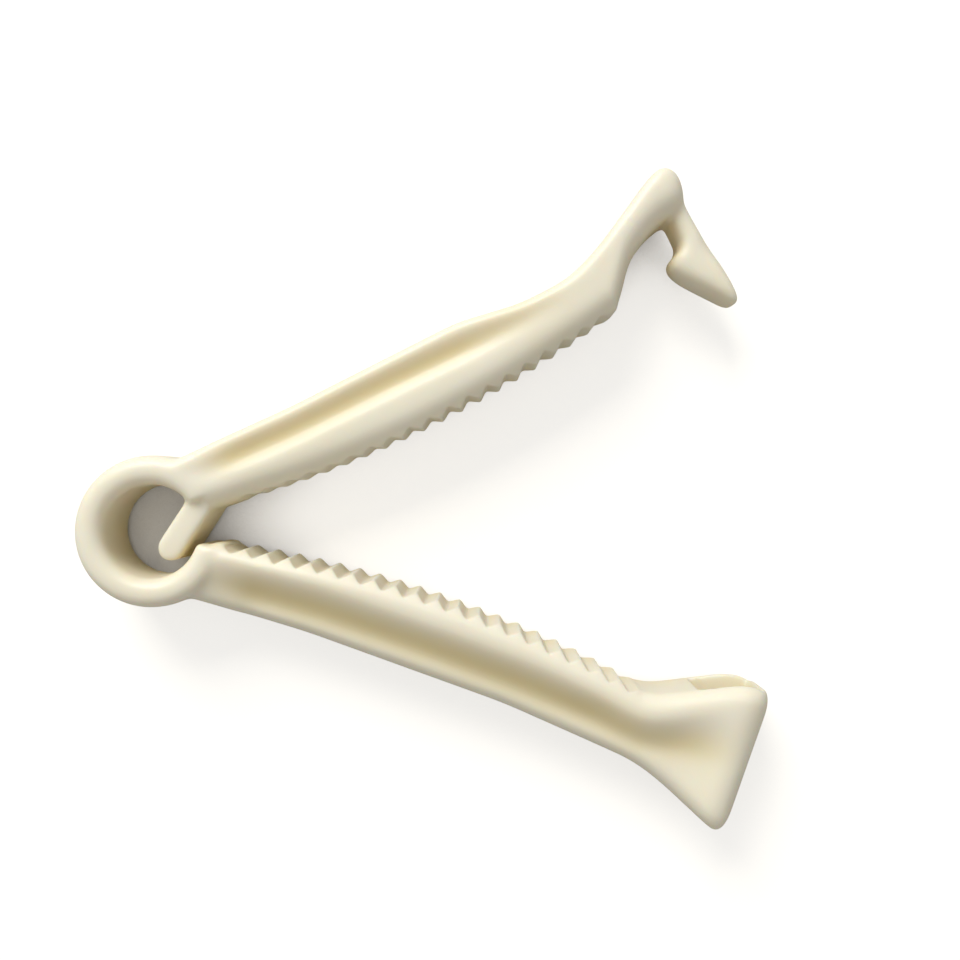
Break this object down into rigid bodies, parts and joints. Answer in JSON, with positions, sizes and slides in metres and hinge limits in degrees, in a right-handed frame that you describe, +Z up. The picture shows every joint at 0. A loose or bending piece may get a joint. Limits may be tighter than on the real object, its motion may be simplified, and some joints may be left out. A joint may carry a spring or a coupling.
{
  "type": "umbilical cord clamp",
  "caption": "Moulded plastic umbilical cord clamp, open: two toothed jaws on a flexing hinge ring, with a barbed hook that snaps into a socket.",
  "frame": {"origin": "centre of the hinge ring, on the plane that the clamp's side lies on", "axes": "+X from the hinge ring out between the open jaws, halving their angle; +Y towards the jaw with the hook; +Z up through the clamp's thickness"},
  "size_m": [0.0577, 0.0559, 0.008],
  "materials": {
    "ivory_nylon": "satin injection-moulded nylon, ivory, slightly translucent"
  },
  "bodies": {
    "root": {"cord_clamp": "ivory_nylon"}
  },
  "joints": []
}
